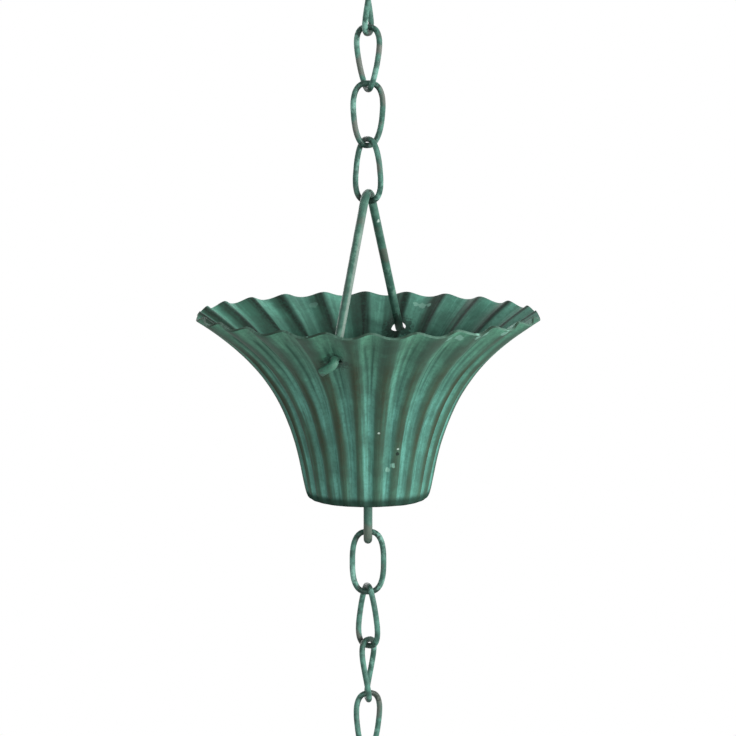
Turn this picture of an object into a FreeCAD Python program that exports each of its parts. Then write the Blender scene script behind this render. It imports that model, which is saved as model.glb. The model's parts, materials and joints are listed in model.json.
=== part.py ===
import FreeCAD, Part
import math
import os

# A rain chain hanging straight down: wire links, one fluted cup on a wire bail, and wire links below it.
# Millimetres, +Z up. The origin is the bearing point inside the upper bow of the top link.
# +X runs through the two holes where the bail passes through the cup's wall.

# Wire links: one size of long ring, each twisted by hand, so its two bows face different ways.
# A squareness of 2 is an oval, and more fills out its corners.
LINK_WIRE = 2.0
LINK_LENGTH = 23.6
LINK_WIDTH = 13.0
LINK_SQUARENESS = 2.7
LINK_STATIONS = 16

# Each link by name, with the turn about Z of its upper and its lower bow, in degrees from +X.
LINKS_ABOVE = (
    ("top_link", 31.0, -5.0),
    ("upper_link_1", 75.0, 29.0),
    ("upper_link_2", 108.0, 150.0),
    ("upper_link_3", 48.0, 78.0),
)
LINKS_BELOW = (
    ("lower_link_1", -77.0, -72.0),
    ("lower_link_2", 28.0, 63.0),
    ("lower_link_3", -19.0, 23.0),
    ("end_link", -47.0, -12.0),
)

# Room left between two pieces where one hangs in or stands on the other.
SEAT_GAP = 0.2

# Bail: thicker wire in an inverted V, its ends pushed through the wall and bent over to one side outside.
HANGER_WIRE = 3.0
BAIL_RISE = 41.5
BAIL_SPREAD = 39.5
BAIL_BEND = 7.0
TAIL_LENGTH = 5.4
TAIL_BEND = 2.2
TAIL_TURN = 72.0
TAIL_ASIDE = 66.0
TAIL_GAP = 1.2

# Cup: pressed sheet, its side a smooth curve from a steep base to a flared rim.
CUP_HEIGHT = 64.6
CUP_WALL = 1.0
RIM_RADIUS = 60.0
RIM_FLARE = 57.0
RIM_PULL = 23.5
BASE_RADIUS = 21.6
BASE_LEAN = 7.5
BASE_PULL = 37.5
BASE_CORNER = 2.0
BAIL_HOLE = 5.4

# Flutes: narrow creases pressed inwards with broad scallops between, deepest at the rim.
FLUTES = 24
RIM_FLUTE_DEPTH = 2.0
BASE_FLUTE_DEPTH = 1.2
FLUTE_SHAPE = (-0.95, 0.15, 0.55, 0.15)
SIDE_STATIONS = 9

# Drain loop: a hairpin hung through the floor, its feet spread on the floor inside.
LOOP_WIDTH = 9.0
LOOP_BEND = 4.0
LOOP_DROP = 13.2
LOOP_TURN = 13.0
FOOT_REACH = 7.5
FOOT_BEND_INSIDE = 0.7
DRAIN_CLEARANCE = 0.6


def vec(x, y, z):
    """A point or direction."""
    return FreeCAD.Vector(x, y, z)


def turned(across, degrees, height):
    """The point at a distance across the Z axis, on a line turned from +X, at a height."""
    angle = math.radians(degrees)
    return vec(across * math.cos(angle), across * math.sin(angle), height)


def swept_wire(edges, start, way, diameter):
    """Round wire along a path that leaves its start in the given direction."""
    section = Part.Wire(Part.Circle(start, way, diameter / 2).toShape())
    return Part.Wire(edges).makePipeShell([section], True, False)


def bent_wire(corners, bends, diameter):
    """Round wire along straight runs from the first point to the last, with a tangent bend at each corner."""
    edges = []
    start = corners[0]
    for i, bend in enumerate(bends, 1):
        back = corners[i - 1] - corners[i]
        ahead = corners[i + 1] - corners[i]
        half_turn = (math.pi - back.getAngle(ahead)) / 2
        back.normalize()
        ahead.normalize()
        reach = bend * math.tan(half_turn)
        middle = (back + ahead).normalize()
        peak = corners[i] + middle * (bend / math.cos(half_turn) - bend)
        edges.append(Part.LineSegment(start, corners[i] + back * reach).toShape())
        edges.append(Part.Arc(corners[i] + back * reach, peak, corners[i] + ahead * reach).toShape())
        start = corners[i] + ahead * reach
    edges.append(Part.LineSegment(start, corners[-1]).toShape())
    return swept_wire(edges, corners[0], corners[1] - corners[0], diameter)


def hung_on(low, wire_above, wire):
    """Height of the centreline of an upper bow that hangs in a lower bow with its centreline at low."""
    return low + wire_above / 2 + SEAT_GAP + wire / 2


def link(upper_turn, lower_turn, top):
    """One twisted ring of link wire with its upper centreline at top, made of two bows that meet mid-leg."""
    across = (LINK_WIDTH - LINK_WIRE) / 2
    rise = (LINK_LENGTH - LINK_WIRE) / 2
    power = 2 / LINK_SQUARENESS
    middle_turn = (upper_turn + lower_turn) / 2
    twist = (upper_turn - lower_turn) / 2
    lean = vec(0, across * math.radians(twist) / rise, 1)
    leg_way = FreeCAD.Rotation(vec(0, 0, 1), middle_turn).multVec(lean)
    far_leg_way = vec(-leg_way.x, -leg_way.y, 1)
    bows = []
    for side in (1, -1):
        path = []
        for i in range(LINK_STATIONS + 1):
            angle = math.pi * i / LINK_STATIONS
            out = math.copysign(abs(math.cos(angle)) ** power, math.cos(angle))
            up = side * abs(math.sin(angle)) ** power
            path.append(turned(across * out, middle_turn + twist * up, top - rise + rise * up))
        curve = Part.BSplineCurve()
        curve.interpolate(Points=path, InitialTangent=leg_way * side, FinalTangent=far_leg_way * -side)
        bows.append(swept_wire([curve.toShape()], path[0], leg_way, LINK_WIRE))
    return bows[0].fuse(bows[1]).Solids[0]


def cup_side():
    """Rows of the cup's outer skin from the floor out and up: place, outward normal and flute depth."""
    lean = math.radians(BASE_LEAN)
    flare = math.radians(RIM_FLARE)
    curve = Part.BezierCurve()
    curve.setPoles([
        vec(BASE_RADIUS, 0, BASE_CORNER),
        vec(BASE_RADIUS + BASE_PULL * math.sin(lean), 0, BASE_CORNER + BASE_PULL * math.cos(lean)),
        vec(RIM_RADIUS - RIM_PULL * math.sin(flare), 0, CUP_HEIGHT - RIM_PULL * math.cos(flare)),
        vec(RIM_RADIUS, 0, CUP_HEIGHT),
    ])
    down = vec(0, 0, -1)
    rows = [
        (vec(BASE_RADIUS - 2 * BASE_CORNER, 0, 0), down, 0.0),
        (vec(BASE_RADIUS - BASE_CORNER / 2, 0, 0), down, 0.0),
    ]
    for i in range(SIDE_STATIONS):
        share = i / (SIDE_STATIONS - 1)
        along = curve.tangent(share)[0]
        depth = BASE_FLUTE_DEPTH + (RIM_FLUTE_DEPTH - BASE_FLUTE_DEPTH) * share
        rows.append((curve.value(share), vec(along.z, 0, -along.x), depth))
    return rows


def fluted_skin(rows, inset):
    """The cup's skin as one smooth closed-round surface, set in from the outer skin by a distance."""
    poles = []
    columns = FLUTES * len(FLUTE_SHAPE)
    for k in range(columns):
        turn = FreeCAD.Rotation(vec(0, 0, 1), 360.0 * k / columns)
        wave = FLUTE_SHAPE[k % len(FLUTE_SHAPE)]
        poles.append([turn.multVec(at + out * (depth * wave - inset)) for at, out, depth in rows])
    degree = 3
    spans = len(rows) - degree
    skin = Part.BSplineSurface()
    skin.buildFromPolesMultsKnots(
        poles,
        [1] * (columns + 1),
        [degree + 1] + [1] * (spans - 1) + [degree + 1],
        list(range(columns + 1)),
        list(range(spans + 1)),
        True,
        False,
        degree,
        degree,
    )
    return skin


def cup_blank(floor):
    """The pressed cup before its holes, standing with the underside of its floor at the given height."""
    rows = cup_side()
    outer = fluted_skin(rows, 0)
    inner = fluted_skin(rows, CUP_WALL)
    _, _, low, high = outer.bounds()
    faces = [outer.toShape(), inner.toShape()]
    for skin in (outer, inner):
        faces.append(Part.Face(Part.Wire(skin.vIso(low).toShape())))
    faces.append(Part.makeRuledSurface(outer.vIso(high).toShape(), inner.vIso(high).toShape()))
    shell = Part.makeShell(faces)
    shell.sewShape()
    cup = Part.makeSolid(Part.Shell(shell.Faces))
    if cup.Volume < 0:
        cup.reverse()
    cup.translate(vec(0, 0, floor))
    return cup


def wall_crossing(cup, start, way):
    """The point where a straight line from start leaves the cup's wall on the outside."""
    line = Part.LineSegment(start, start + way * (2 * (RIM_RADIUS + CUP_HEIGHT))).toShape()
    inside = line.common(cup)
    return max((v.Point for v in inside.Vertexes), key=lambda p: (p - start).Length)


def bail_wire(vertex, exits, way):
    """The bail: a tail, a leg up to the bent top, the other leg and its tail."""
    corner = exits + way * (HANGER_WIRE / 2 + TAIL_GAP)
    down = FreeCAD.Rotation(vec(0, 1, 0), TAIL_TURN).multVec(way)
    tip = corner + FreeCAD.Rotation(way, -TAIL_ASIDE).multVec(down) * TAIL_LENGTH
    other_end = [vec(-p.x, -p.y, p.z) for p in (corner, tip)]
    corners = [tip, corner, vertex, *other_end]
    bends = [TAIL_BEND, BAIL_BEND, TAIL_BEND]
    return bent_wire(corners, bends, HANGER_WIRE)


def bail_holes(exits, way):
    """Two cutters along the bail's legs, low enough that the wire bears on each hole's upper edge."""
    low = FreeCAD.Rotation(vec(0, 1, 0), 90).multVec(way)
    middle = exits + low * ((BAIL_HOLE - HANGER_WIRE) / 2 - SEAT_GAP)
    reach = 4 * CUP_WALL + RIM_FLUTE_DEPTH
    right = Part.makeCylinder(BAIL_HOLE / 2, 2 * reach, middle - way * reach, way)
    left = right.mirror(vec(0, 0, 0), vec(1, 0, 0))
    return [right, left]


def drain_loop(floor, low):
    """The hairpin: a foot, a leg down through the floor, the bow, and the other leg and foot."""
    across = LOOP_WIDTH / 2
    foot = floor + CUP_WALL + SEAT_GAP + HANGER_WIRE / 2
    foot_end = across + FOOT_REACH
    left = [(-foot_end, foot), (-across, foot), (-across, low)]
    points = left + [(-x, z) for x, z in reversed(left)]
    foot_bend = HANGER_WIRE / 2 + FOOT_BEND_INSIDE
    bends = [foot_bend, LOOP_BEND, LOOP_BEND, foot_bend]
    return bent_wire([turned(x, LOOP_TURN, z) for x, z in points], bends, HANGER_WIRE)


def chain():
    """Every piece by name, from the top link down."""
    pieces = {}
    top = LINK_WIRE / 2
    for name, upper_turn, lower_turn in LINKS_ABOVE:
        pieces[name] = link(upper_turn, lower_turn, top)
        low = top - (LINK_LENGTH - LINK_WIRE)
        top = hung_on(low, LINK_WIRE, LINK_WIRE)
    bail_top = hung_on(low, LINK_WIRE, HANGER_WIRE)
    rim = bail_top - HANGER_WIRE / 2 - BAIL_RISE
    floor = rim - CUP_HEIGHT
    cup = cup_blank(floor)
    spread = math.radians(BAIL_SPREAD)
    way = vec(math.sin(spread), 0, -math.cos(spread))
    vertex = vec(0, 0, bail_top + BAIL_BEND * (1 / math.sin(spread) - 1))
    exits = wall_crossing(cup, vertex, way)
    pieces["cup_bail"] = bail_wire(vertex, exits, way)
    drain = Part.makeCylinder(
        (LOOP_WIDTH + HANGER_WIRE) / 2 + DRAIN_CLEARANCE, 4 * CUP_WALL, vec(0, 0, floor - CUP_WALL)
    )
    pieces["fluted_cup"] = cup.cut([*bail_holes(exits, way), drain]).Solids[0]
    loop_low = floor - LOOP_DROP - HANGER_WIRE / 2
    pieces["drain_loop"] = drain_loop(floor, loop_low)
    top = hung_on(loop_low, HANGER_WIRE, LINK_WIRE)
    for name, upper_turn, lower_turn in LINKS_BELOW:
        pieces[name] = link(upper_turn, lower_turn, top)
        low = top - (LINK_LENGTH - LINK_WIRE)
        top = hung_on(low, LINK_WIRE, LINK_WIRE)
    return pieces


os.makedirs("parts", exist_ok=True)
for name, shape in chain().items():
    print(f"{name}: {shape.ShapeType} valid={shape.isValid()} volume={shape.Volume:.1f}")
    shape.exportStep(f"parts/{name}.step")
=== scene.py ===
"""Dresses a rain chain and sets it in a plain white studio.

A fluted verdigris cup hangs on a wire bail from twisted wire links. A drain loop and more links hang below.
"""

import json
import logging
import math
from collections.abc import Callable
from dataclasses import dataclass
from enum import Enum

import bmesh
import bpy
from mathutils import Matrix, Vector


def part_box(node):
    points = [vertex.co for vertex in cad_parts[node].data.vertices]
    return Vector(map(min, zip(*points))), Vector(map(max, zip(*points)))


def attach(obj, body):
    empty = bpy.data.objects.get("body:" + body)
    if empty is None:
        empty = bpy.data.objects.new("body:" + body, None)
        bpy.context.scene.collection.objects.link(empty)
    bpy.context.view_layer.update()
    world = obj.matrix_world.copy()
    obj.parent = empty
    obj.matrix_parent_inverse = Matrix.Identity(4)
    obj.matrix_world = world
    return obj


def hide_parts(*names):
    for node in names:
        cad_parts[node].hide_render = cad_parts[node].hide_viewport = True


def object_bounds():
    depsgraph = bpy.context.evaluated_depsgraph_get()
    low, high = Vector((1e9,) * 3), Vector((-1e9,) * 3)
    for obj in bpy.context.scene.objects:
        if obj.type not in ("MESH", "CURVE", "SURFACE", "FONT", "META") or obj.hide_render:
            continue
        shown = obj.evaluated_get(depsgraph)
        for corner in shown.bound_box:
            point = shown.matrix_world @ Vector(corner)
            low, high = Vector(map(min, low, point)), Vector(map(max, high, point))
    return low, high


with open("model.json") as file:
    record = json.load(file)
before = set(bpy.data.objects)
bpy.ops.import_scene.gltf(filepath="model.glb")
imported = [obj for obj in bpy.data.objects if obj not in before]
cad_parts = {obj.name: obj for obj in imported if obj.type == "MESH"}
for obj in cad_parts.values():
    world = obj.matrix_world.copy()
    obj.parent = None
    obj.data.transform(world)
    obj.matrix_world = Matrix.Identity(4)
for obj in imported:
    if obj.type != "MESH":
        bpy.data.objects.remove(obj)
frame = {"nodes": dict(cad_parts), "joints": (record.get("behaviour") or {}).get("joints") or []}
cad_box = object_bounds()

log = logging.getLogger("rain_chain")

Colour = tuple[float, float, float]
Socket = bpy.types.NodeSocket
Feed = float | tuple | Socket

MM = 0.001

# Water runs follow the flutes. Their pattern is read on a cylinder of this radius,
# with heights shrunk to this share, so that it is drawn out downwards.
RUN_RADIUS = 38.0 * MM
RUN_STRETCH = 0.07

# The patina's grain is this many times finer than its blotches.
# The blotches stand up by this share of the grain's height.
GRAIN_FINENESS = 6.5
BLOTCH_RISE = 0.5

# A spot's edge strays by this share of its radius, with this many ragged features to the metre.
SPOT_STRAY = 1.3
SPOT_RAGGED = 900.0

# Damp dirt and thick crust round the holes, and pale chips and flecks where the crust has come away.
DARK_STAIN = (0.012, 0.024, 0.018)
GREEN_CRUST = (0.055, 0.175, 0.118)
PALE_CHIP = (0.200, 0.400, 0.320)
WHITE_FLECK = (0.500, 0.620, 0.560)
WHITE = (1.0, 1.0, 1.0)

# The side of the chain that the photograph shows, as an angle about Z from +X.
FRONT_ANGLE = math.radians(-166.0)


class WireKind(Enum):
    """The two gauges of wire in the chain."""

    LINK = "link_wire"
    HANGER = "hanger_wire"


class CupSide(Enum):
    """The cup's three surfaces, in the order of its material slots."""

    OUTSIDE = 0
    INSIDE = 1
    EDGE = 2


def from_front(degrees: float, radius: float, height: float) -> Vector:
    """Finds a point by its angle about the chain from the middle of the front.

    Args:
        degrees: Angle from the front, growing to the right and round to the back.
        radius: Distance from the chain's axis in metres.
        height: Height in the frame in metres.

    Returns:
        The point in the frame.
    """
    angle = FRONT_ANGLE + math.radians(degrees)
    return Vector((radius * math.cos(angle), radius * math.sin(angle), height))


def choose(piece: bpy.types.Object) -> None:
    """Selects one piece alone and makes it the active one.

    Args:
        piece: The object that the next operators act on.
    """
    bpy.ops.object.select_all(action="DESELECT")
    piece.select_set(True)
    bpy.context.view_layer.objects.active = piece


def pick(piece: bpy.types.Object, test: Callable[[Vector], bool]) -> None:
    """Selects, in edit mode, the vertices whose place passes a test.

    Args:
        piece: The object in edit mode.
        test: Takes a vertex's place and says whether it is picked.
    """
    bpy.context.tool_settings.mesh_select_mode = (True, False, False)
    cage = bmesh.from_edit_mesh(piece.data)
    for vertex in cage.verts:
        vertex.select = test(vertex.co)
    cage.select_flush_mode()
    bmesh.update_edit_mesh(piece.data)


def finish_modifier(piece: bpy.types.Object, kind: str, **settings: object) -> None:
    """Adds one modifier to a piece and applies it.

    Args:
        piece: The object to change.
        kind: The modifier's type.
        settings: Values set on the modifier by name.
    """
    choose(piece)
    bpy.ops.object.modifier_add(type=kind)
    modifier = piece.modifiers[-1]
    for name, value in settings.items():
        setattr(modifier, name, value)
    bpy.ops.object.modifier_apply(modifier=modifier.name)


@dataclass(frozen=True)
class Spot:
    """One worn, chipped or stained place in the frame."""

    place: Vector
    radius: float
    colour: Colour
    strength: float = 1.0


@dataclass(frozen=True)
class Mark:
    """A spot on the cup's skin, by its angle from the front and its height above the cup's floor."""

    degrees: float
    rise_mm: float
    radius_mm: float
    colour: Colour
    strength: float = 1.0


class Graph:
    """Short calls that add nodes to one node tree and join them."""

    def __init__(self, tree: bpy.types.NodeTree) -> None:
        """Keeps the tree that nodes are added to.

        Args:
            tree: The tree of a material, a world or a node group.
        """
        self.tree = tree

    def add(
        self, kind: str, feeds: dict[str | int, Feed] | None = None, **options: object
    ) -> bpy.types.Node:
        """Adds one node.

        Args:
            kind: The node's type.
            feeds: A constant or another node's socket for each named or numbered input.
            options: Values set on the node itself.

        Returns:
            The new node.
        """
        node = self.tree.nodes.new(kind)
        for name, value in options.items():
            setattr(node, name, value)
        for name, value in (feeds or {}).items():
            self.feed(node.inputs[name], value)
        return node

    def feed(self, socket: Socket, value: Feed) -> None:
        """Sets an input to a constant or joins it to another socket.

        Args:
            socket: The input.
            value: The constant or the output that feeds it.
        """
        if isinstance(value, Socket):
            self.tree.links.new(value, socket)
        elif socket.type == "RGBA" and len(value) == 3:
            socket.default_value = (*value, 1.0)
        else:
            socket.default_value = value

    def math(self, operation: str, first: Feed, second: Feed = 0.0) -> Socket:
        """Adds an arithmetic node.

        Args:
            operation: The arithmetic's name.
            first: Its first value.
            second: Its second value.

        Returns:
            The result's socket.
        """
        return self.add("ShaderNodeMath", {0: first, 1: second}, operation=operation).outputs[0]

    def product(self, *factors: Feed) -> Socket:
        """Multiplies values.

        Args:
            factors: Two values or more.

        Returns:
            The product's socket.
        """
        result = factors[0]
        for factor in factors[1:]:
            result = self.math("MULTIPLY", result, factor)
        return result

    def fade(self, value: Feed, start: float, end: float, low: float = 0.0, high: float = 1.0) -> Socket:
        """Turns a value into a smooth step.

        Args:
            value: The value to read.
            start: Where the step begins.
            end: Where the step ends.
            low: The result before the step.
            high: The result after the step.

        Returns:
            The step's socket.
        """
        flip = start > end
        feeds = {
            "Value": value,
            "From Min": end if flip else start,
            "From Max": start if flip else end,
            "To Min": high if flip else low,
            "To Max": low if flip else high,
        }
        return self.add("ShaderNodeMapRange", feeds, interpolation_type="SMOOTHSTEP").outputs["Result"]

    def between(self, mask: Feed, low: float, high: float) -> Socket:
        """Turns a mask into a smooth run between two values.

        Args:
            mask: A value from 0 to 1.
            low: The result where the mask is 0.
            high: The result where the mask is 1.

        Returns:
            The run's socket.
        """
        return self.fade(mask, 0.0, 1.0, low, high)

    def mix(self, factor: Feed, first: Feed, second: Feed) -> Socket:
        """Mixes two colours.

        Args:
            factor: Share of the second colour.
            first: The first colour.
            second: The second colour.

        Returns:
            The mixed colour's socket.
        """
        return self.add("ShaderNodeMix", {0: factor, 6: first, 7: second}, data_type="RGBA").outputs[2]

    def noise(self, vector: Feed, scale: Feed, detail: float, roughness: float = 0.5) -> Socket:
        """Adds a noise texture.

        Args:
            vector: The place that the noise reads.
            scale: Features per metre.
            detail: Number of finer layers.
            roughness: Strength of the finer layers.

        Returns:
            The noise value's socket.
        """
        feeds = {"Vector": vector, "Scale": scale, "Detail": detail, "Roughness": roughness}
        return self.add("ShaderNodeTexNoise", feeds).outputs[0]

    def parts(self, vector: Feed) -> bpy.types.NodeOutputs:
        """Splits a vector into outputs named X, Y and Z."""
        return self.add("ShaderNodeSeparateXYZ", {0: vector}).outputs

    def use(self, group: bpy.types.NodeTree, feeds: dict[str, Feed]) -> bpy.types.NodeOutputs:
        """Places a node group with its inputs fed and gives its outputs."""
        return self.add("ShaderNodeGroup", feeds, node_tree=group).outputs

    def spots(
        self, group: bpy.types.NodeTree, place: Feed, spots: tuple[Spot, ...], colour: Socket
    ) -> Socket:
        """Lays worn, chipped or stained spots over a colour.

        Args:
            group: The node group that draws one spot.
            place: The place that the spots read.
            spots: The spots, the lowest first.
            colour: The colour under them.

        Returns:
            The spotted colour's socket.
        """
        for spot in spots:
            mask = self.use(group, {"Vector": place, "Centre": tuple(spot.place), "Radius": spot.radius})
            colour = self.mix(self.product(mask["Spot"], spot.strength), colour, spot.colour)
        return colour

    def bump(self, shader: bpy.types.Node, height: Socket, strength: float, distance: float) -> None:
        """Gives a shader's surface a fine relief.

        Args:
            shader: The shader.
            height: The relief's height.
            strength: Its strength.
            distance: How far its highest places stand up, in metres.
        """
        feeds = {"Height": height, "Strength": strength, "Distance": distance}
        self.feed(shader.inputs["Normal"], self.add("ShaderNodeBump", feeds).outputs["Normal"])


def new_material(name: str) -> tuple[bpy.types.Material, Graph, bpy.types.Node]:
    """Makes a material with its shader still plain.

    Args:
        name: The material's name.

    Returns:
        The material, its graph and its shader node.
    """
    material = bpy.data.materials.new(name)
    material.use_nodes = True
    return material, Graph(material.node_tree), material.node_tree.nodes["Principled BSDF"]


def new_group(
    name: str, inputs: dict[str, str], outputs: tuple[str, ...]
) -> tuple[Graph, bpy.types.NodeOutputs, bpy.types.NodeInputs]:
    """Makes an empty shader node group with named sockets.

    Args:
        name: The group's name.
        inputs: Each input's name and socket type.
        outputs: The names of its value outputs.

    Returns:
        The group's graph, the sockets that its inputs come from and the sockets that its outputs go to.
    """
    tree = bpy.data.node_groups.new(name, "ShaderNodeTree")
    for label, kind in inputs.items():
        tree.interface.new_socket(name=label, in_out="INPUT", socket_type=kind)
    for label in outputs:
        tree.interface.new_socket(name=label, in_out="OUTPUT", socket_type="NodeSocketFloat")
    graph = Graph(tree)
    return graph, graph.add("NodeGroupInput").outputs, graph.add("NodeGroupOutput").inputs


@dataclass(frozen=True)
class PatinaGroups:
    """The node groups that the chain's finishes share."""

    crust: bpy.types.NodeTree
    bands: bpy.types.NodeTree
    runs: bpy.types.NodeTree
    spot: bpy.types.NodeTree

    @classmethod
    def build(cls, flutes: int) -> "PatinaGroups":
        """Builds every group once.

        Args:
            flutes: Number of flutes round the cup.

        Returns:
            The built groups.
        """
        return cls(cls._crust(), cls._bands(flutes), cls._runs(), cls._spot())

    @staticmethod
    def _crust() -> bpy.types.NodeTree:
        """Builds the crust of a verdigris patina: broad blotches, fine grain and their height.

        Returns:
            The group.
        """
        graph, given, result = new_group(
            "verdigris_crust",
            {"Vector": "NodeSocketVector", "Scale": "NodeSocketFloat"},
            ("Blotch", "Grain", "Height"),
        )
        broad = graph.noise(given["Vector"], given["Scale"], detail=4.0, roughness=0.6)
        grain_scale = graph.product(given["Scale"], GRAIN_FINENESS)
        fine = graph.noise(given["Vector"], grain_scale, detail=3.0, roughness=0.65)
        blotch = graph.fade(broad, start=0.36, end=0.66)
        graph.feed(result["Blotch"], blotch)
        graph.feed(result["Grain"], graph.fade(fine, start=0.42, end=0.7))
        graph.feed(result["Height"], graph.math("ADD", graph.product(blotch, BLOTCH_RISE), fine))
        return graph.tree

    @staticmethod
    def _bands(flutes: int) -> bpy.types.NodeTree:
        """Builds bands that repeat once a flute: 1 on the band's middle and 0 half a flute away.

        Args:
            flutes: Number of flutes round the cup.

        Returns:
            The group.
        """
        graph, given, result = new_group(
            "flute_bands",
            {"Vector": "NodeSocketVector", "Shift": "NodeSocketFloat", "Narrow": "NodeSocketFloat"},
            ("Band",),
        )
        parts = graph.parts(given["Vector"])
        angle = graph.math("ARCTAN2", parts["Y"], parts["X"])
        turns = graph.math("SUBTRACT", graph.product(angle, flutes / math.tau), given["Shift"])
        wave = graph.math("COSINE", graph.product(turns, math.tau))
        lifted = graph.product(graph.math("ADD", wave, 1.0), 0.5)
        graph.feed(result["Band"], graph.math("POWER", lifted, given["Narrow"]))
        return graph.tree

    @staticmethod
    def _runs() -> bpy.types.NodeTree:
        """Builds streaks that water leaves as it runs down.

        Returns:
            The group.
        """
        graph, given, result = new_group(
            "water_runs",
            {"Vector": "NodeSocketVector", "Scale": "NodeSocketFloat"},
            ("Streak",),
        )
        parts = graph.parts(given["Vector"])
        level = graph.add("ShaderNodeCombineXYZ", {"X": parts["X"], "Y": parts["Y"]}).outputs[0]
        around = graph.add("ShaderNodeVectorMath", {0: level}, operation="NORMALIZE").outputs["Vector"]
        drop = graph.add("ShaderNodeCombineXYZ", {"Z": graph.product(parts["Z"], RUN_STRETCH)}).outputs[0]
        feeds = {0: around, 1: (RUN_RADIUS, RUN_RADIUS, 0.0), 2: drop}
        drawn = graph.add("ShaderNodeVectorMath", feeds, operation="MULTIPLY_ADD").outputs["Vector"]
        streak = graph.noise(drawn, given["Scale"], detail=3.0, roughness=0.55)
        graph.feed(result["Streak"], graph.fade(streak, start=0.36, end=0.64))
        return graph.tree

    @staticmethod
    def _spot() -> bpy.types.NodeTree:
        """Builds one ragged spot round a place.

        Returns:
            The group.
        """
        graph, given, result = new_group(
            "worn_spot",
            {"Vector": "NodeSocketVector", "Centre": "NodeSocketVector", "Radius": "NodeSocketFloat"},
            ("Spot",),
        )
        feeds = {0: given["Vector"], 1: given["Centre"]}
        away = graph.add("ShaderNodeVectorMath", feeds, operation="DISTANCE").outputs["Value"]
        share = graph.math("DIVIDE", away, given["Radius"])
        ragged = graph.noise(given["Vector"], SPOT_RAGGED, detail=2.0)
        stray = graph.product(graph.math("SUBTRACT", ragged, 0.5), SPOT_STRAY)
        graph.feed(result["Spot"], graph.fade(graph.math("ADD", share, stray), start=1.0, end=0.62))
        return graph.tree


@dataclass(frozen=True)
class LegHighlightAndShade:
    """Painted light and shade along the bail's leg on the -X side: a painted highlight down one flank and
    painted shade down the other.
    """

    # The first colour is a painted highlight down one flank, the second painted shade down the other.
    rub_and_highlight: Colour = (0.225, 0.270, 0.240)
    painted_shade: Colour = (0.028, 0.072, 0.053)
    start: float = -5.0 * MM
    end: float = -18.0 * MM
    highlight_flank: tuple[float, float] = (-0.6 * MM, -1.25 * MM)
    shade_flank: tuple[float, float] = (-0.1 * MM, 0.9 * MM)
    highlight_strength: float = 0.7
    shade_strength: float = 0.65

    def lay(self, graph: Graph, place: Socket, colour: Socket) -> Socket:
        """Lays the painted highlight and shade over a colour.

        Args:
            graph: The material's graph.
            place: The place that the painted highlight and shade read.
            colour: The colour under it.

        Returns:
            The socket of the colour with the painted highlight and shade.
        """
        parts = graph.parts(place)
        along = graph.fade(parts["X"], self.start, self.end)
        dirt_and_shade = graph.product(along, graph.fade(parts["Y"], *self.shade_flank), self.shade_strength)
        highlight = graph.product(along, graph.fade(parts["Y"], *self.highlight_flank), self.highlight_strength)
        return graph.mix(highlight, graph.mix(dirt_and_shade, colour, self.painted_shade), self.rub_and_highlight)


@dataclass(frozen=True)
class WireFinish:
    """Green verdigris on wire, with dark and rubbed pale patches and stretches of bare brown metal."""

    name: str
    deep: Colour
    middle: Colour
    pale: Colour
    bare: Colour
    patch_scale: float
    stains: tuple[Spot, ...] = ()
    # Painted highlight and painted shade along a leg, if any.
    leg_light_and_shade: LegHighlightAndShade | None = None
    stretch_share: float = 0.3
    pale_strength: float = 0.9
    bare_strength: float = 0.9
    grain_strength: float = 0.4
    roughness: tuple[float, float] = (0.34, 0.58)
    gloss: float = 0.18
    relief: float = 0.15 * MM
    relief_strength: float = 0.5

    def make(self, groups: PatinaGroups) -> bpy.types.Material:
        """Makes the material.

        Args:
            groups: The shared node groups.

        Returns:
            The material.
        """
        material, graph, shader = new_material(self.name)
        place = graph.add("ShaderNodeTexCoord").outputs["Object"]
        crust = graph.use(groups.crust, {"Vector": place, "Scale": self.patch_scale})
        stretch = graph.noise(place, self.patch_scale * self.stretch_share, detail=2.0)
        colour = graph.mix(crust["Blotch"], self.deep, self.middle)
        worn = graph.fade(stretch, start=0.5, end=0.64)
        rub_and_highlight = graph.product(worn, graph.fade(crust["Blotch"], start=0.2, end=0.8), self.pale_strength)
        colour = graph.mix(rub_and_highlight, colour, self.pale)
        stripped = graph.fade(stretch, start=0.45, end=0.36, high=self.bare_strength)
        colour = graph.mix(stripped, colour, self.bare)
        # The bail's legs get a painted highlight down one flank and painted shade down the other.
        if self.leg_light_and_shade:
            colour = self.leg_light_and_shade.lay(graph, place, colour)
        colour = graph.mix(graph.product(crust["Grain"], self.grain_strength), colour, self.deep)
        colour = graph.spots(groups.spot, place, self.stains, colour)
        graph.feed(shader.inputs["Base Color"], colour)
        graph.feed(shader.inputs["Roughness"], graph.between(crust["Blotch"], *self.roughness))
        graph.feed(shader.inputs["Specular IOR Level"], self.gloss)
        graph.bump(shader, crust["Height"], self.relief_strength, self.relief)
        return material


@dataclass(frozen=True)
class CupSurface:
    """What a finish reads at each place on the cup: patina, water runs and the way down from the rim."""

    graph: Graph
    groups: PatinaGroups
    place: Socket
    height: Socket
    low_down: Socket
    crust: bpy.types.NodeOutputs
    fine_runs: Socket
    broad_runs: Socket
    sway: Socket

    def band(self, shift: float, narrow: Feed) -> Socket:
        """Adds a band that repeats once a flute and sways a little from side to side.

        Args:
            shift: The band's middle, in flutes from a crease.
            narrow: How narrow the band is.

        Returns:
            The band's socket.
        """
        middle = self.graph.math("ADD", self.sway, shift)
        feeds = {"Vector": self.place, "Shift": middle, "Narrow": narrow}
        return self.graph.use(self.groups.bands, feeds)["Band"]


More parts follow.
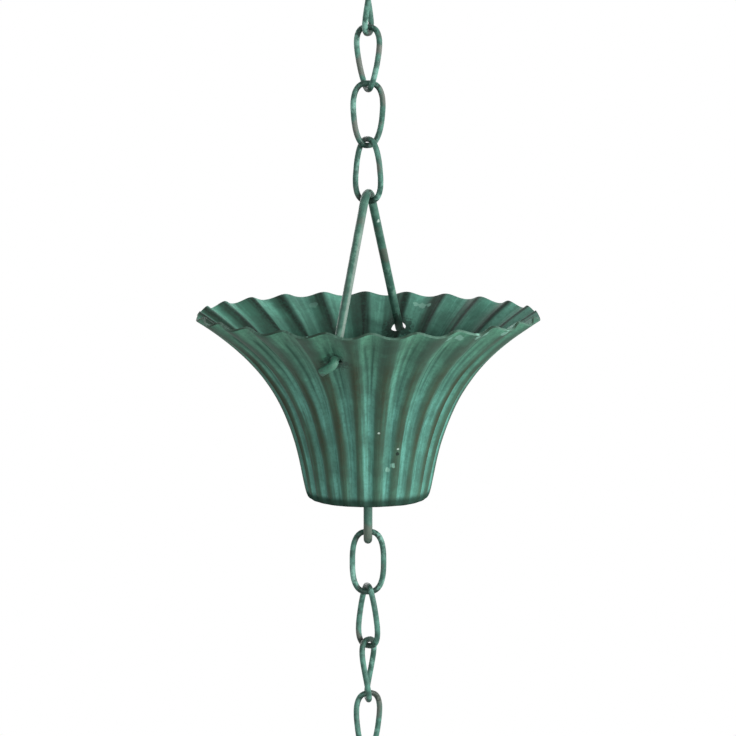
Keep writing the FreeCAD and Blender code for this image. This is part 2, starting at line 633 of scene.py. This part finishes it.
@dataclass(frozen=True)
class CupFinish:
    """Verdigris on the cup's sheet: banded by the flutes, streaked by water, stained and chipped.

    Its gloss is a coat that dirt, stains and painted shade don't have, so that they stay dark in white
    surroundings.
    """

    name: str
    ground: Colour
    shade: Colour
    rim_lit: Colour
    crease: Colour
    scallop: Colour
    line: Colour
    hem: Colour
    floor: float
    rim: float
    fade_from_rim: float
    hem_height: float
    hem_end: float = 0.45
    hem_strength: float = 0.9
    foot_share: float = 0.8
    foot_stain: float = 0.55
    rim_stain: float = 0.45
    crease_shift: float = 0.0
    crease_strength: float = 0.9
    scallop_shift: float = 0.5
    scallop_narrow: float = 1.8
    scallop_strength: float = 0.9
    line_shifts: tuple[float, ...] = ()
    line_narrow: float = 40.0
    line_fade: tuple[float, float] = (0.6, 1.0)
    line_start: float = 0.06
    line_strength: float = 0.6
    spots: tuple[Spot, ...] = ()
    crust_scale: float = 130.0
    fine_run_scale: float = 760.0
    broad_run_scale: float = 190.0
    run_strength: float = 0.4
    grain_strength: float = 0.35
    sway: float = 0.06
    roughness: tuple[float, float] = (0.45, 0.67)
    gloss: float = 0.45
    gloss_roughness: float = 0.5
    stain_and_shade_dullness: float = 0.8
    run_relief: float = 0.6
    relief: float = 0.2 * MM
    relief_strength: float = 0.55

    def make(self, groups: PatinaGroups) -> bpy.types.Material:
        """Makes the material.

        Args:
            groups: The shared node groups.

        Returns:
            The material.
        """
        material, graph, shader = new_material(self.name)
        cup = self._read(graph, groups)
        colour = graph.mix(cup.crust["Blotch"], self.shade, self.ground)
        colour = graph.mix(graph.product(cup.fine_runs, self.run_strength), colour, self.shade)
        # On the inner skin this band is painted shade on one side of each ridge; on the outer skin it is a
        # stain.
        stain = self._stain_and_shade(cup)
        colour = graph.mix(stain, colour, self.scallop)
        # On the inner skin the pale band is a painted highlight on the other side of each ridge.
        colour = graph.mix(self._lit(cup), colour, graph.mix(cup.low_down, self.rim_lit, self.crease))
        # On the inner skin the hem is painted shade, darker from the rim downwards.
        hem_start, hem_full = self.floor + self.hem_height, self.floor + self.hem_end * self.hem_height
        dirt_and_shade = graph.fade(cup.height, hem_start, hem_full, high=self.hem_strength)
        colour = graph.mix(dirt_and_shade, colour, self.hem)
        # On the inner skin the lines are partly metal worn dark and partly painted shade.
        for shift in self.line_shifts:
            line = self._line(cup, shift)
            colour = graph.mix(line, colour, self.line)
            dirt_and_shade = graph.math("MAXIMUM", dirt_and_shade, line)
        colour = graph.mix(graph.product(cup.crust["Grain"], self.grain_strength), colour, self.shade)
        colour = graph.spots(groups.spot, cup.place, self.spots, colour)
        graph.feed(shader.inputs["Base Color"], colour)
        graph.feed(shader.inputs["Roughness"], graph.between(cup.crust["Blotch"], *self.roughness))
        dull = graph.math("MAXIMUM", dirt_and_shade, graph.product(stain, self.stain_and_shade_dullness))
        coat = graph.fade(dull, start=0.1, end=0.9, low=self.gloss, high=0.0)
        graph.feed(shader.inputs["Coat Weight"], coat)
        graph.feed(shader.inputs["Coat Roughness"], self.gloss_roughness)
        graph.feed(shader.inputs["Specular IOR Level"], 0.0)
        height = graph.math("ADD", cup.crust["Height"], graph.product(cup.fine_runs, self.run_relief))
        graph.bump(shader, height, self.relief_strength, self.relief)
        return material

    def _read(self, graph: Graph, groups: PatinaGroups) -> CupSurface:
        """Adds the nodes that the finish's colours read.

        Args:
            graph: The material's graph.
            groups: The shared node groups.

        Returns:
            The sockets to read.
        """
        place = graph.add("ShaderNodeTexCoord").outputs["Object"]
        height = graph.parts(place)["Z"]
        broad_runs = graph.use(groups.runs, {"Vector": place, "Scale": self.broad_run_scale})["Streak"]
        return CupSurface(
            graph,
            groups,
            place,
            height,
            low_down=graph.fade(height, self.rim, self.rim - self.fade_from_rim),
            crust=graph.use(groups.crust, {"Vector": place, "Scale": self.crust_scale}),
            fine_runs=graph.use(groups.runs, {"Vector": place, "Scale": self.fine_run_scale})["Streak"],
            broad_runs=broad_runs,
            sway=graph.between(broad_runs, -self.sway, self.sway),
        )

    def _stain_and_shade(self, cup: CupSurface) -> Socket:
        """Masks the dark band along each flute, weaker at the rim and at the foot: a stain on the outer
        skin and painted shade on the inner skin.

        Args:
            cup: The sockets to read.

        Returns:
            The mask's socket.
        """
        graph = cup.graph
        foot_top = self.floor + self.foot_share * self.fade_from_rim
        foot = graph.fade(cup.height, self.floor, foot_top, low=self.foot_stain)
        rim = graph.fade(cup.low_down, start=0.0, end=0.5, low=self.rim_stain)
        band = cup.band(self.scallop_shift, self.scallop_narrow)
        washed = graph.between(cup.broad_runs, low=0.6, high=1.0)
        return graph.product(band, rim, foot, self.scallop_strength, washed)

    def _lit(self, cup: CupSurface) -> Socket:
        """Masks the pale band along each flute, broken by water runs.

        Args:
            cup: The sockets to read.

        Returns:
            The mask's socket.
        """
        graph = cup.graph
        band = cup.band(self.crease_shift, graph.between(cup.low_down, low=0.8, high=1.0))
        pale = graph.fade(band, start=0.2, end=0.75)
        washed = graph.between(cup.fine_runs, low=1.0, high=0.5)
        patchy = graph.between(cup.crust["Blotch"], low=0.7, high=1.0)
        return graph.product(pale, washed, patchy, self.crease_strength)

    def _line(self, cup: CupSurface, shift: float) -> Socket:
        """Masks one thin dark line along each flute, from just under the rim down to where it fades.

        Args:
            cup: The sockets to read.
            shift: The line's middle, in flutes from a crease.

        Returns:
            The mask's socket.
        """
        graph = cup.graph
        band = cup.band(shift, self.line_narrow)
        washed = graph.between(cup.broad_runs, low=1.0, high=0.6)
        faded = graph.fade(cup.low_down, *self.line_fade, low=1.0, high=0.0)
        begun = graph.fade(cup.low_down, start=0.0, end=self.line_start)
        return graph.product(band, washed, self.line_strength, faded, begun)


@dataclass
class Wirework:
    """The bent wire pieces: links, bail and drain loop, each with its solid's own mesh."""

    far_hole: Vector
    near_hole: Vector
    link_nodes: tuple[str, ...] = (
        "top_link", "upper_link_1", "upper_link_2", "upper_link_3",
        "lower_link_1", "lower_link_2", "lower_link_3", "end_link",
    )
    hanger_nodes: tuple[str, ...] = ("cup_bail", "drain_loop")
    hole_stain: float = 8.0 * MM
    contact_stain: float = 5.0 * MM
    leg_fleck: Vector = Vector((10.6 * MM, -1.4 * MM, -87.0 * MM))
    fleck_radius: float = 0.9 * MM

    def build(self, groups: PatinaGroups) -> list[bpy.types.Object]:
        """Dresses every wire piece.

        Args:
            groups: The shared node groups.

        Returns:
            The dressed pieces.
        """
        finishes = self._finishes()
        pieces = []
        for kind, nodes in ((WireKind.LINK, self.link_nodes), (WireKind.HANGER, self.hanger_nodes)):
            material = finishes[kind].make(groups)
            for node in nodes:
                pieces.append(self._dress(node, material))
        return pieces

    def _finishes(self) -> dict[WireKind, WireFinish]:
        """Describes the finish of each gauge, stained where pieces hang in each other and at the holes.

        Returns:
            The finish of each gauge.
        """
        swinging = (*self.link_nodes, "cup_bail")
        contacts = tuple(
            Spot(Vector(joint["pos_m"]), self.contact_stain, DARK_STAIN, strength=0.8)
            for joint in frame["joints"] if joint["child"] in swinging
        )
        hanger_spots = (
            Spot(self.far_hole, self.hole_stain, DARK_STAIN, strength=0.75),
            Spot(self.near_hole, self.hole_stain, GREEN_CRUST, strength=0.8),
            Spot(self.leg_fleck, self.fleck_radius, WHITE_FLECK, strength=0.7),
        )
        link = WireFinish(
            "link_verdigris",
            deep=(0.036, 0.095, 0.073),
            middle=(0.082, 0.214, 0.166),
            pale=(0.170, 0.345, 0.284),
            bare=(0.122, 0.128, 0.112),
            patch_scale=300.0,
            stains=contacts,
        )
        hanger = WireFinish(
            "hanger_verdigris",
            deep=(0.040, 0.106, 0.080),
            middle=(0.074, 0.178, 0.134),
            pale=(0.130, 0.260, 0.200),
            bare=(0.090, 0.110, 0.088),
            patch_scale=230.0,
            stains=(*contacts, *hanger_spots),
            # The bail gets a painted highlight down one flank of its legs and painted shade down the other.
            leg_light_and_shade=LegHighlightAndShade(),
        )
        return {WireKind.LINK: link, WireKind.HANGER: hanger}

    @staticmethod
    def _dress(node: str, material: bpy.types.Material) -> bpy.types.Object:
        """Gives one wire node its finish.

        Args:
            node: The node's name.
            material: The finish.

        Returns:
            The node's object.
        """
        piece = frame["nodes"][node]
        piece.data.materials.clear()
        piece.data.materials.append(material)
        return piece


@dataclass
class FlutedCup:
    """The pressed sheet cup: a turned cage with its flutes pressed in, thickened, punched and dressed."""

    height: float = 64.6 * MM
    wall: float = 1.0 * MM
    rim_radius: float = 60.0 * MM
    rim_flare: float = math.radians(57.0)
    rim_pull: float = 23.5 * MM
    base_radius: float = 21.6 * MM
    base_lean: float = math.radians(7.5)
    base_pull: float = 37.5 * MM
    base_corner: float = 2.0 * MM
    drain_radius: float = 6.6 * MM
    flutes: int = 24
    flute_shape: tuple[float, ...] = (-0.95, 0.15, 0.55, 0.15)
    rim_flute: float = 2.0 * MM
    base_flute: float = 1.2 * MM
    stations: int = 9
    ring_tolerance: float = 0.01 * MM
    merge_distance: float = 0.001 * MM
    hole_radius: float = 2.7 * MM
    hole_sides: int = 40
    hole_place: Vector = Vector((45.37 * MM, 0.0, -128.70 * MM))
    hole_slope: float = math.radians(39.5)
    punch_length: float = 12.0 * MM
    buckle: float = 0.35 * MM
    buckle_spread: float = 14.0 * MM
    edge_round: float = 0.22 * MM
    edge_angle: float = math.radians(55.0)
    smooth_angle: float = math.radians(40.0)
    outer_marks: tuple[Mark, ...] = (
        Mark(29.0, 63.0, 1.6, PALE_CHIP, 0.6),
        Mark(33.0, 63.2, 1.8, PALE_CHIP, 0.7),
        Mark(39.0, 63.0, 1.5, PALE_CHIP, 0.6),
        Mark(45.0, 63.2, 1.8, PALE_CHIP, 0.7),
        Mark(52.0, 63.0, 1.6, PALE_CHIP, 0.6),
        Mark(60.0, 63.2, 1.8, PALE_CHIP, 0.6),
        Mark(7.7, 27.5, 0.5, WHITE_FLECK, 0.6),
        Mark(23.3, 21.4, 0.5, WHITE_FLECK, 0.6),
        Mark(23.3, 19.6, 0.8, DARK_STAIN),
        Mark(20.6, 15.3, 1.0, PALE_CHIP, 0.7),
        Mark(17.0, 13.8, 1.0, PALE_CHIP, 0.7),
    )
    inner_marks: tuple[Mark, ...] = (
        Mark(161.5, 62.3, 1.2, PALE_CHIP, 0.7),
        Mark(159.0, 61.8, 1.6, PALE_CHIP, 0.8),
        Mark(156.5, 62.2, 1.1, PALE_CHIP, 0.7),
        Mark(201.0, 62.0, 1.8, PALE_CHIP, 0.25),
    )
    edge_marks: tuple[Mark, ...] = (
        Mark(29.0, 63.2, 2.2, PALE_CHIP, 0.9),
        Mark(33.0, 63.2, 2.6, PALE_CHIP, 0.9),
        Mark(38.0, 63.2, 1.8, PALE_CHIP, 0.9),
        Mark(45.0, 63.2, 2.6, PALE_CHIP, 0.9),
        Mark(52.0, 63.2, 2.0, PALE_CHIP, 0.9),
        Mark(60.0, 63.2, 2.4, PALE_CHIP, 0.9),
        Mark(-20.0, 63.2, 1.6, PALE_CHIP, 0.9),
    )

    def __post_init__(self) -> None:
        """Reads the height of the floor from the frame and places the rim and the near hole."""
        self.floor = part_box("fluted_cup")[0].z
        self.rim = self.floor + self.height
        self.near_hole = Vector((-self.hole_place.x, self.hole_place.y, self.hole_place.z))

    def build(self, groups: PatinaGroups) -> bpy.types.Object:
        """Models and dresses the cup.

        Args:
            groups: The shared node groups.

        Returns:
            The finished cup.
        """
        cup = self._turn()
        self._press(cup)
        self._smooth(cup)
        self._buckle(cup)
        self._thicken(cup)
        self._punch(cup)
        self._dress(cup, groups)
        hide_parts("fluted_cup")
        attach(cup, "fluted_cup")
        return cup

    def _side(self) -> list[tuple[float, float, float, float, float]]:
        """Works out the rings of the cup's side from the base corner up to the rim.

        Returns:
            For each ring: radius, height, the outward normal's radial and upward parts, and flute depth.
        """
        start = Vector((self.base_radius, self.base_corner))
        lift = Vector((math.sin(self.base_lean), math.cos(self.base_lean))) * self.base_pull
        end = Vector((self.rim_radius, self.height))
        pull = Vector((math.sin(self.rim_flare), math.cos(self.rim_flare))) * self.rim_pull
        near, far = start + lift, end - pull
        rings = []
        for i in range(self.stations):
            t = i / (self.stations - 1)
            s = 1 - t
            at = start * s**3 + near * (3 * s * s * t) + far * (3 * s * t * t) + end * t**3
            along = (near - start) * (s * s) + (far - near) * (2 * s * t) + (end - far) * (t * t)
            along.normalize()
            depth = self.base_flute + (self.rim_flute - self.base_flute) * t
            rings.append((at.x, self.floor + at.y, along.y, -along.x, depth))
        return rings

    def _turn(self) -> bpy.types.Object:
        """Extrudes the plain cage from the drain hole out and up.

        Returns:
            The cage.
        """
        bpy.ops.object.select_all(action="DESELECT")
        bpy.ops.mesh.primitive_circle_add(
            vertices=self.flutes * len(self.flute_shape),
            radius=self.drain_radius,
            fill_type="NOTHING",
            location=(0, 0, 0),
        )
        cup = bpy.context.object
        cup.name = "cup"
        bpy.ops.object.mode_set(mode="EDIT")
        bpy.ops.transform.translate(value=(0, 0, self.floor))
        flat = self.base_radius - 2 * self.base_corner
        corner = self.base_radius - self.base_corner / 2
        floor_radii = (self.drain_radius + self.wall, (flat + self.drain_radius) / 2, flat, corner)
        rings = [(radius, self.floor) for radius in floor_radii]
        rings.extend((radius, height) for radius, height, *_ in self._side())
        radius, height = self.drain_radius, self.floor
        for next_radius, next_height in rings:
            bpy.ops.mesh.extrude_region_move(TRANSFORM_OT_translate={"value": (0, 0, next_height - height)})
            grow = next_radius / radius
            bpy.ops.transform.resize(value=(grow, grow, 1), center_override=(0, 0, next_height))
            radius, height = next_radius, next_height
        bpy.ops.object.mode_set(mode="OBJECT")
        return cup

    def _press(self, cup: bpy.types.Object) -> None:
        """Presses the flutes into the cage, ring by ring.

        Args:
            cup: The plain cage.
        """
        period = len(self.flute_shape)
        columns = self.flutes * period
        choose(cup)
        bpy.ops.object.mode_set(mode="EDIT")
        for radius, height, out, up, depth in self._side():
            for wave in sorted(set(self.flute_shape)):

                def on_wave(at: Vector, height: float = height, wave: float = wave) -> bool:
                    """Says whether a vertex lies on this ring and this part of the flute."""
                    column = round(math.atan2(at.y, at.x) / math.tau * columns)
                    on_ring = abs(at.z - height) < self.ring_tolerance
                    return on_ring and self.flute_shape[column % period] == wave

                pick(cup, on_wave)
                push = depth * wave
                grow = 1 + out * push / radius
                bpy.ops.transform.resize(value=(grow, grow, 1), center_override=(0, 0, height))
                bpy.ops.transform.translate(value=(0, 0, up * push))
        bpy.ops.object.mode_set(mode="OBJECT")

    def _smooth(self, cup: bpy.types.Object) -> None:
        """Rounds the pressed cage, with its faces outwards.

        Args:
            cup: The pressed cage.
        """
        choose(cup)
        bpy.ops.object.mode_set(mode="EDIT")
        bpy.ops.mesh.select_all(action="SELECT")
        bpy.ops.mesh.remove_doubles(threshold=self.merge_distance)
        bpy.ops.mesh.normals_make_consistent(inside=False)
        bpy.ops.object.mode_set(mode="OBJECT")
        rim_face = max(cup.data.polygons, key=lambda polygon: polygon.center.z)
        if rim_face.normal.z > 0:
            bpy.ops.object.mode_set(mode="EDIT")
            bpy.ops.mesh.select_all(action="SELECT")
            bpy.ops.mesh.flip_normals()
            bpy.ops.object.mode_set(mode="OBJECT")
        finish_modifier(cup, "SUBSURF", levels=2, render_levels=2)

    def _buckle(self, cup: bpy.types.Object) -> None:
        """Buckles the sheet a little, as hand pressing leaves it.

        Args:
            cup: The smooth skin.
        """
        texture = bpy.data.textures.new("sheet_buckle", "CLOUDS")
        texture.noise_scale = self.buckle_spread
        finish_modifier(
            cup, "DISPLACE", texture=texture, texture_coords="LOCAL", strength=self.buckle, mid_level=0.5
        )

    def _thicken(self, cup: bpy.types.Object) -> None:
        """Gives the skin its wall, inwards, and rounds its cut edges.

        Args:
            cup: The buckled skin.
        """
        for _ in CupSide:
            cup.data.materials.append(None)
        finish_modifier(
            cup, "SOLIDIFY", thickness=self.wall, offset=-1.0, use_even_offset=True,
            material_offset=CupSide.INSIDE.value, material_offset_rim=CupSide.EDGE.value,
        )
        finish_modifier(
            cup, "BEVEL", width=self.edge_round, segments=2,
            limit_method="ANGLE", angle_limit=self.edge_angle,
        )

    def _punch(self, cup: bpy.types.Object) -> None:
        """Punches the two holes that the bail passes through.

        Args:
            cup: The thick cup.
        """
        for turn in (1.0, -1.0):
            bpy.ops.object.select_all(action="DESELECT")
            bpy.ops.mesh.primitive_cylinder_add(
                vertices=self.hole_sides,
                radius=self.hole_radius,
                depth=self.punch_length,
                location=(turn * self.hole_place.x, 0, self.hole_place.z),
                rotation=(0, turn * (math.pi - self.hole_slope), 0),
            )
            punch = bpy.context.object
            finish_modifier(cup, "BOOLEAN", operation="DIFFERENCE", object=punch, solver="EXACT")
            bpy.data.objects.remove(punch)

    def _dress(self, cup: bpy.types.Object, groups: PatinaGroups) -> None:
        """Gives the cup its three finishes and smooth shading.

        Args:
            cup: The punched cup.
            groups: The shared node groups.
        """
        finishes = {
            CupSide.OUTSIDE: self._outside(cup),
            CupSide.INSIDE: self._inside(cup),
            CupSide.EDGE: self._edge(cup),
        }
        for side, finish in finishes.items():
            cup.data.materials[side.value] = finish.make(groups)
        choose(cup)
        bpy.ops.object.shade_smooth_by_angle(angle=self.smooth_angle)

    def _spots(
        self, cup: bpy.types.Object, marks: tuple[Mark, ...], side: CupSide = CupSide.OUTSIDE
    ) -> tuple[Spot, ...]:
        """Finds the places of marks on the cup's outer or inner skin.

        Args:
            cup: The punched cup.
            marks: The marks.
            side: The skin that they lie on.

        Returns:
            A spot for each mark.
        """
        start_radius, way = (2 * self.rim_radius, -1.0) if side is CupSide.OUTSIDE else (0.0, 1.0)
        spots = []
        for mark in marks:
            start = from_front(mark.degrees, start_radius, self.floor + mark.rise_mm * MM)
            _, place, _, _ = cup.ray_cast(start, from_front(mark.degrees, way, 0.0))
            spots.append(Spot(place, mark.radius_mm * MM, mark.colour, mark.strength))
        return tuple(spots)

    def _outside(self, cup: bpy.types.Object) -> CupFinish:
        """Describes the finish of the outer skin.

        Args:
            cup: The punched cup.

        Returns:
            The finish.
        """
        stain = Spot(self.near_hole, radius=5.5 * MM, colour=DARK_STAIN, strength=0.6)
        return CupFinish(
            "cup_outside",
            ground=(0.044, 0.150, 0.100),
            shade=(0.027, 0.082, 0.056),
            rim_lit=(0.092, 0.270, 0.178),
            crease=(0.105, 0.310, 0.255),
            scallop=(0.044, 0.048, 0.030),
            line=(0.022, 0.046, 0.036),
            hem=(0.020, 0.040, 0.030),
            floor=self.floor,
            rim=self.rim,
            fade_from_rim=34.0 * MM,
            hem_height=4.2 * MM,
            line_shifts=(-0.1, 0.09),
            spots=(stain, *self._spots(cup, self.outer_marks)),
        )

    def _inside(self, cup: bpy.types.Object) -> CupFinish:
        """Describes the finish of the inner skin: on each ridge a painted highlight on one side, painted
        shade on the other and dark lines that are partly metal worn dark and partly painted shade, with
        painted shade darkening it from the rim downwards.

        Args:
            cup: The punched cup.

        Returns:
            The finish.
        """
        stain = Spot(self.hole_place, radius=6.0 * MM, colour=DARK_STAIN, strength=0.7)
        return CupFinish(
            "cup_inside",
            ground=(0.060, 0.232, 0.160),
            shade=(0.032, 0.108, 0.076),
            # The pale band's colours are a painted highlight on one side of each ridge.
            rim_lit=(0.150, 0.405, 0.315),
            crease=(0.142, 0.390, 0.300),
            # The scallop colour is painted shade on the other side; the line colour is metal worn dark on
            # the ridge and painted shade beside it.
            scallop=(0.025, 0.034, 0.026),
            line=(0.010, 0.012, 0.010),
            # The hem colour is painted shade: with hem_height at the rim, it darkens the inside from the
            # rim downwards.
            hem=(0.026, 0.056, 0.042),
            floor=self.floor,
            rim=self.rim + 12.0 * MM,
            fade_from_rim=16.0 * MM,
            hem_height=65.0 * MM,
            hem_end=0.70,
            # These shifts put the painted highlight on one side of each ridge and the painted shade and
            # lines on the other, as a lamp from the side would light them.
            crease_shift=-0.27,
            crease_strength=0.75,
            scallop_shift=0.17,
            line_shifts=(0.0, 0.05, 0.1),
            line_narrow=16.0,
            line_fade=(2.0, 3.0),
            gloss=0.4,
            gloss_roughness=0.52,
            spots=(stain, *self._spots(cup, self.inner_marks, CupSide.INSIDE)),
        )

    def _edge(self, cup: bpy.types.Object) -> CupFinish:
        """Describes the finish of the cut edges.

        Args:
            cup: The punched cup.

        Returns:
            The finish.
        """
        return CupFinish(
            "cup_edge",
            ground=(0.055, 0.125, 0.088),
            shade=(0.026, 0.060, 0.042),
            rim_lit=(0.095, 0.190, 0.145),
            crease=(0.095, 0.190, 0.145),
            scallop=(0.022, 0.036, 0.026),
            line=(0.012, 0.020, 0.016),
            hem=(0.008, 0.016, 0.012),
            floor=self.floor,
            rim=self.rim + 30.0 * MM,
            fade_from_rim=20.0 * MM,
            hem_height=4.0 * MM,
            crease_shift=0.3,
            scallop_shift=0.8,
            gloss=0.3,
            spots=self._spots(cup, self.edge_marks),
        )


@dataclass(frozen=True)
class Lamp:
    """One soft square lamp, placed as seen from the camera and aimed at the middle of the chain."""

    name: str
    right: float
    front: float
    up: float
    width: float
    power: float


@dataclass
class Studio:
    """White surroundings, soft lamps and the camera of the photograph."""

    middle: Vector = Vector((0.0, 0.0, -0.1375))
    distance: float = 1.3
    elevation: float = math.radians(8.0)
    lens: float = 181.5
    sensor: float = 36.0
    nearest: float = 0.01
    floor_depth: float = 2.0
    floor_width: float = 14.0
    floor_colour: Colour = (0.85, 0.85, 0.85)
    daylight: float = 0.5
    lamps: tuple[Lamp, ...] = (
        Lamp("key_lamp", right=1.1, front=0.5, up=0.18, width=0.45, power=16.5),
        Lamp("front_lamp", right=0.35, front=1.6, up=0.15, width=0.5, power=12.0),
        Lamp("back_lamp", right=-0.35, front=-1.35, up=0.5, width=1.4, power=14.0),
    )

    def build(self) -> None:
        """Sets up the world, the floor, the lamps and the camera."""
        bpy.context.scene.view_settings.view_transform = "Standard"
        self._world()
        self._floor()
        for lamp in self.lamps:
            self._lamp(lamp)
        self._camera()

    @staticmethod
    def _white_seen(graph: Graph) -> Socket:
        """Marks the rays that see the surroundings directly, in gloss or through glass.

        Args:
            graph: The graph to add to.

        Returns:
            A socket that is 1 for such rays.
        """
        rays = graph.add("ShaderNodeLightPath").outputs
        seen = graph.math("MAXIMUM", rays["Is Camera Ray"], rays["Is Glossy Ray"])
        return graph.math("MAXIMUM", seen, rays["Is Transmission Ray"])

    def _world(self) -> None:
        """Makes surroundings that look white and give a plain soft light."""
        world = bpy.data.worlds.new("white_room")
        world.use_nodes = True
        bpy.context.scene.world = world
        graph = Graph(world.node_tree)
        sky = world.node_tree.nodes["Background"]
        graph.feed(sky.inputs["Color"], WHITE)
        graph.feed(sky.inputs["Strength"], graph.between(self._white_seen(graph), self.daylight, 1.0))

    def _floor(self) -> None:
        """Lays a plain white floor well below the chain."""
        bpy.ops.object.select_all(action="DESELECT")
        depth = cad_box[0].z - self.floor_depth
        bpy.ops.mesh.primitive_plane_add(size=self.floor_width, location=(0, 0, depth))
        floor = bpy.context.object
        floor.name = "studio_floor"
        material, graph, shader = new_material("white_floor")
        graph.feed(shader.inputs["Base Color"], self.floor_colour)
        white = graph.add("ShaderNodeEmission", {"Color": WHITE, "Strength": 1.0})
        feeds = {0: self._white_seen(graph), 1: shader.outputs[0], 2: white.outputs[0]}
        shown = graph.add("ShaderNodeMixShader", feeds)
        graph.feed(material.node_tree.nodes["Material Output"].inputs["Surface"], shown.outputs[0])
        floor.data.materials.append(material)

    def _lamp(self, lamp: Lamp) -> None:
        """Places one lamp.

        Args:
            lamp: The lamp's sizes.
        """
        front = from_front(0.0, lamp.front, lamp.up)
        place = self.middle + front + from_front(90.0, lamp.right, 0.0)
        bpy.ops.object.light_add(type="AREA", location=place)
        light = bpy.context.object
        light.name = lamp.name
        light.data.size = lamp.width
        light.data.energy = lamp.power
        light.rotation_euler = (self.middle - place).to_track_quat("-Z", "Y").to_euler()

    def _camera(self) -> None:
        """Places the camera at the photograph's viewing angle."""
        back = from_front(0.0, math.cos(self.elevation), math.sin(self.elevation))
        bpy.ops.object.camera_add(location=self.middle + back * self.distance)
        camera = bpy.context.object
        camera.name = "photo_camera"
        camera.data.lens = self.lens
        camera.data.sensor_width = self.sensor
        camera.data.clip_start = self.nearest
        camera.rotation_euler = (-back).to_track_quat("-Z", "Y").to_euler()
        bpy.context.scene.camera = camera


def main() -> None:
    """Builds and dresses every piece in order."""
    logging.basicConfig(level=logging.INFO, format="%(name)s: %(message)s")
    cup = FlutedCup()
    groups = PatinaGroups.build(cup.flutes)
    pieces = Wirework(cup.hole_place, cup.near_hole).build(groups)
    pieces.append(cup.build(groups))
    for piece in pieces:
        log.info("%s: %d faces", piece.name, len(piece.data.polygons))
    Studio().build()


if __name__ == "__main__":
    main()
